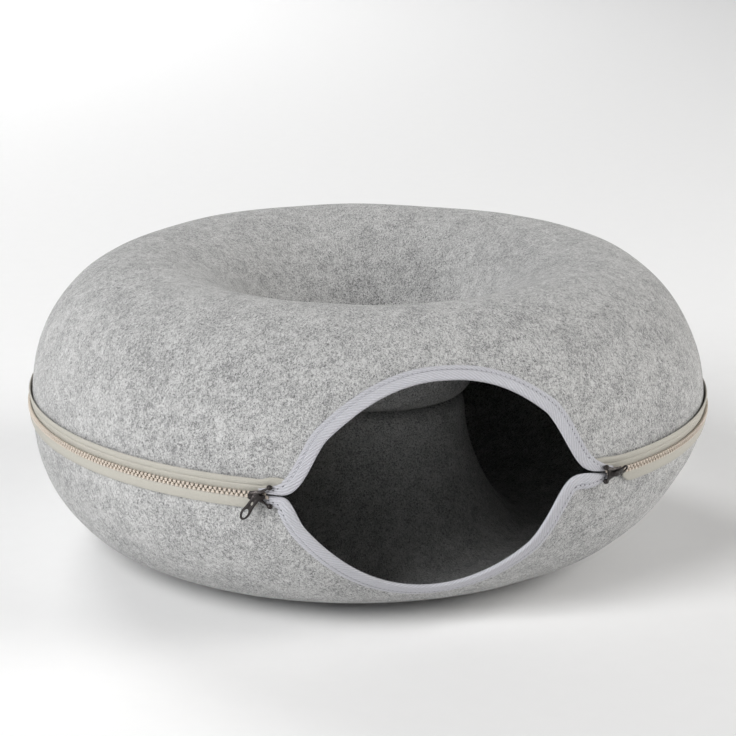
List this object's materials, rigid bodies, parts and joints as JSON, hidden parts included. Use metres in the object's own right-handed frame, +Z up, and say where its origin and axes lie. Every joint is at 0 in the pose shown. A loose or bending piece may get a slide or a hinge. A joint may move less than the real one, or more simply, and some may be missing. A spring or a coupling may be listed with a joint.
{
  "type": "felt cat cave",
  "caption": "Round tunnel bed for a cat: two moulded grey felt halves zipped together round the rim, with a bound lens-shaped doorway and a basin in the top",
  "frame": {"origin": "bottom centre of the bounding box, on the surface the cave rests on", "axes": "+Z up; the doorway faces -Y"},
  "size_m": [0.4991, 0.485, 0.2104],
  "materials": {
    "felt": "pressed felt, heathered light grey",
    "binding": "twill bias tape",
    "zip_tape": "woven tape",
    "zip_teeth": "moulded, satin",
    "zip_metal": "dark gunmetal"
  },
  "bodies": {
    "root": {"felt_top": "felt", "felt_base": "felt", "door_binding_top": "binding", "door_binding_base": "binding", "zip_tape_top": "zip_tape", "zip_tape_base": "zip_tape", "zip_chain": "zip_teeth", "slider_left": "zip_metal", "slider_right": "zip_metal", "pull_left": "zip_metal", "pull_right": "zip_metal"}
  },
  "joints": []
}
